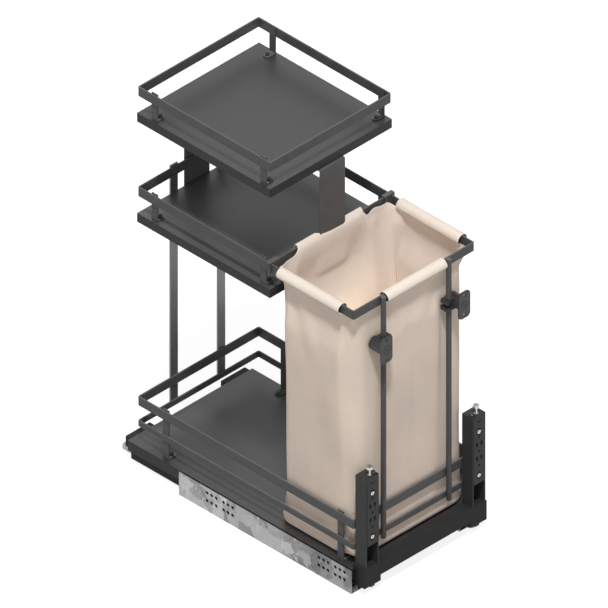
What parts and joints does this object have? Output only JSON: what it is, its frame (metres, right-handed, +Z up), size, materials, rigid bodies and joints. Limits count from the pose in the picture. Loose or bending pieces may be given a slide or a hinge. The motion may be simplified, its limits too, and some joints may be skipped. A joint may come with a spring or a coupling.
{
  "type": "pull-out cabinet organiser",
  "caption": "Pull-out for a narrow base cabinet: railed tray on concealed runners, a cloth laundry bag in front and a two-tier railed shelf tower behind.",
  "frame": {"origin": "on the floor of the runners, midway across the width and the depth", "axes": "+Z up, -Y out of the cabinet towards the door, +X to the right seen from the door"},
  "size_m": [0.2624, 0.496, 0.6688],
  "materials": {
    "anthracite_steel": "anthracite powder coat, fine and matt",
    "shelf_board": "anthracite melamine, matt",
    "zinc_sheet": "galvanised sheet with zinc flakes",
    "bright_screws": "bright plated",
    "dark_screws": "black plated",
    "black_plastic": "moulded, satin",
    "bag_cloth": "cream cotton, plain weave"
  },
  "bodies": {
    "cabinet_runners": {"cabinet_member_left": "zinc_sheet", "cabinet_member_right": "zinc_sheet"},
    "middle_members": {"middle_member_left": "zinc_sheet", "middle_member_right": "zinc_sheet"},
    "lower_ball_cages": {"lower_cage_left": "black_plastic", "lower_cage_right": "black_plastic"},
    "upper_ball_cages": {"upper_cage_left": "black_plastic", "upper_cage_right": "black_plastic"},
    "tray": {"drawer_member_left": "zinc_sheet", "drawer_member_right": "zinc_sheet", "base_board": "shelf_board", "side_profile_left": "anthracite_steel", "side_profile_right": "anthracite_steel", "rear_bracket_left": "anthracite_steel", "rear_bracket_right": "anthracite_steel", "front_panel": "anthracite_steel", "base_rail_upper": "anthracite_steel", "base_rail_lower": "anthracite_steel", "base_uprights": "anthracite_steel", "base_screws": "dark_screws", "rear_post_left": "anthracite_steel", "rear_post_right": "anthracite_steel", "front_post_left": "anthracite_steel", "front_post_right": "anthracite_steel", "post_screws": "dark_screws", "mid_shelf": "shelf_board", "mid_shelf_rail": "anthracite_steel", "mid_shelf_uprights": "anthracite_steel", "mid_shelf_screws": "dark_screws", "top_shelf": "shelf_board", "top_shelf_rail": "anthracite_steel", "top_shelf_uprights": "anthracite_steel", "top_shelf_screws": "dark_screws", "tower_plate_front": "anthracite_steel", "tower_plate_rear": "anthracite_steel", "tower_screws": "dark_screws", "bag_frame": "anthracite_steel", "saddle_hook_left": "anthracite_steel", "saddle_hook_right": "anthracite_steel", "rod_left": "anthracite_steel", "rod_right": "anthracite_steel", "laundry_bag": "bag_cloth", "column_left": "anthracite_steel", "column_right": "anthracite_steel", "clamp_screws_left": "bright_screws", "clamp_screws_right": "bright_screws", "column_plugs": "black_plastic", "lever_pins": "zinc_sheet"},
    "door_plate_left": {"door_plate_left": "anthracite_steel"},
    "door_plate_right": {"door_plate_right": "anthracite_steel"},
    "height_screw_left": {"height_screw_left": "bright_screws"},
    "height_screw_right": {"height_screw_right": "bright_screws"},
    "release_lever_left": {"release_lever_left": "black_plastic"},
    "release_lever_right": {"release_lever_right": "black_plastic"},
    "door_clip_left": {"clip_body_left": "black_plastic", "clip_plate_left": "black_plastic", "clip_screw_left": "dark_screws"},
    "door_clip_right": {"clip_body_right": "black_plastic", "clip_plate_right": "black_plastic", "clip_screw_right": "dark_screws"}
  },
  "joints": [
    {"name": "tray_slide", "type": "slide", "parent": "cabinet_runners", "child": "tray", "axis": [0, -1, 0], "range_m": [0, 0.35]},
    {"name": "middle_slide", "type": "slide", "parent": "cabinet_runners", "child": "middle_members", "axis": [0, -1, 0], "range_m": [0, 0.175]},
    {"name": "lower_cage_slide", "type": "slide", "parent": "cabinet_runners", "child": "lower_ball_cages", "axis": [0, -1, 0], "range_m": [0, 0.0875]},
    {"name": "upper_cage_slide", "type": "slide", "parent": "cabinet_runners", "child": "upper_ball_cages", "axis": [0, -1, 0], "range_m": [0, 0.2625]},
    {"name": "height_screw_left_turn", "type": "hinge", "parent": "tray", "child": "height_screw_left", "pos_m": [-0.1081, -0.2415, 0.204], "axis": [0, 0, 1], "range_deg": [-1544, 1544]},
    {"name": "door_plate_left_climb", "type": "slide", "parent": "tray", "child": "door_plate_left", "axis": [0, 0, 1], "range_m": [-0.003, 0.003]},
    {"name": "release_lever_left_swing", "type": "hinge", "parent": "tray", "child": "release_lever_left", "pos_m": [-0.104, -0.237, 0.0123], "axis": [0, 0, 1], "range_deg": [0, 15], "stiffness_Nm_per_rad": 0.02, "springref_deg": -5.73},
    {"name": "door_clip_left_slide", "type": "slide", "parent": "tray", "child": "door_clip_left", "axis": [0, 0, 1], "range_m": [-0.27, 0.045]},
    {"name": "height_screw_right_turn", "type": "hinge", "parent": "tray", "child": "height_screw_right", "pos_m": [0.1081, -0.2415, 0.204], "axis": [0, 0, 1], "range_deg": [-1544, 1544]},
    {"name": "door_plate_right_climb", "type": "slide", "parent": "tray", "child": "door_plate_right", "axis": [0, 0, 1], "range_m": [-0.003, 0.003]},
    {"name": "release_lever_right_swing", "type": "hinge", "parent": "tray", "child": "release_lever_right", "pos_m": [0.104, -0.237, 0.0123], "axis": [0, 0, -1], "range_deg": [0, 15], "stiffness_Nm_per_rad": 0.02, "springref_deg": -5.73},
    {"name": "door_clip_right_slide", "type": "slide", "parent": "tray", "child": "door_clip_right", "axis": [0, 0, 1], "range_m": [-0.27, 0.045]}
  ],
  "couplings": [
    {"joint": "middle_slide", "follows": "tray_slide", "ratio": 0.5},
    {"joint": "lower_cage_slide", "follows": "tray_slide", "ratio": 0.25},
    {"joint": "upper_cage_slide", "follows": "tray_slide", "ratio": 0.75},
    {"joint": "height_screw_left_turn", "follows": "door_plate_left_climb", "rad_per_m": -8976},
    {"joint": "height_screw_right_turn", "follows": "door_plate_right_climb", "rad_per_m": -8976}
  ]
}
